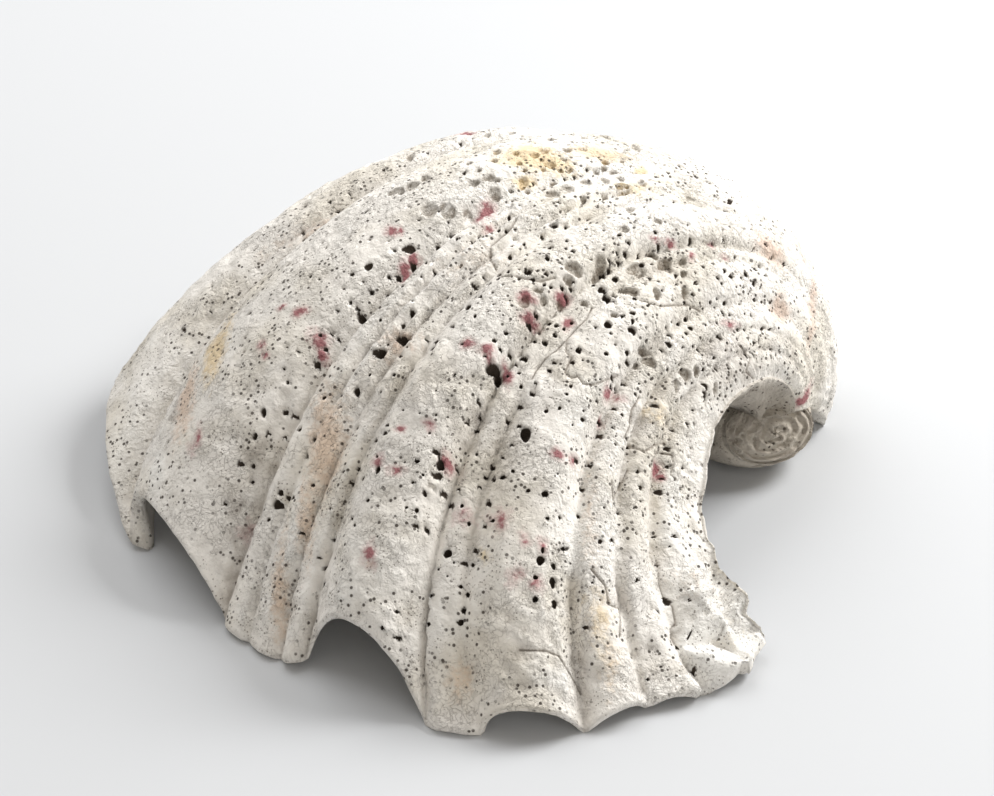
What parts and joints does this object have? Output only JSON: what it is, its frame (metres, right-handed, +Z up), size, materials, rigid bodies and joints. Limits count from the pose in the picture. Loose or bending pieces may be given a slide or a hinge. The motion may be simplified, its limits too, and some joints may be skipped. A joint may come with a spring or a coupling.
{
  "type": "giant clam shell",
  "caption": "Single bleached giant clam valve with deep radial folds, a wavy toothed margin and a beak that coils in at one end, resting hollow side down.",
  "frame": {"origin": "on the ground under the middle of the valve's box", "axes": "+Z up out of the domed side, -Y towards the wavy margin, +X towards the beak"},
  "size_m": [0.1986, 0.2012, 0.0791],
  "materials": {
    "shell": "chalky matt, bleached off-white with grey furrows"
  },
  "bodies": {
    "root": {"valve": "shell"}
  },
  "joints": []
}
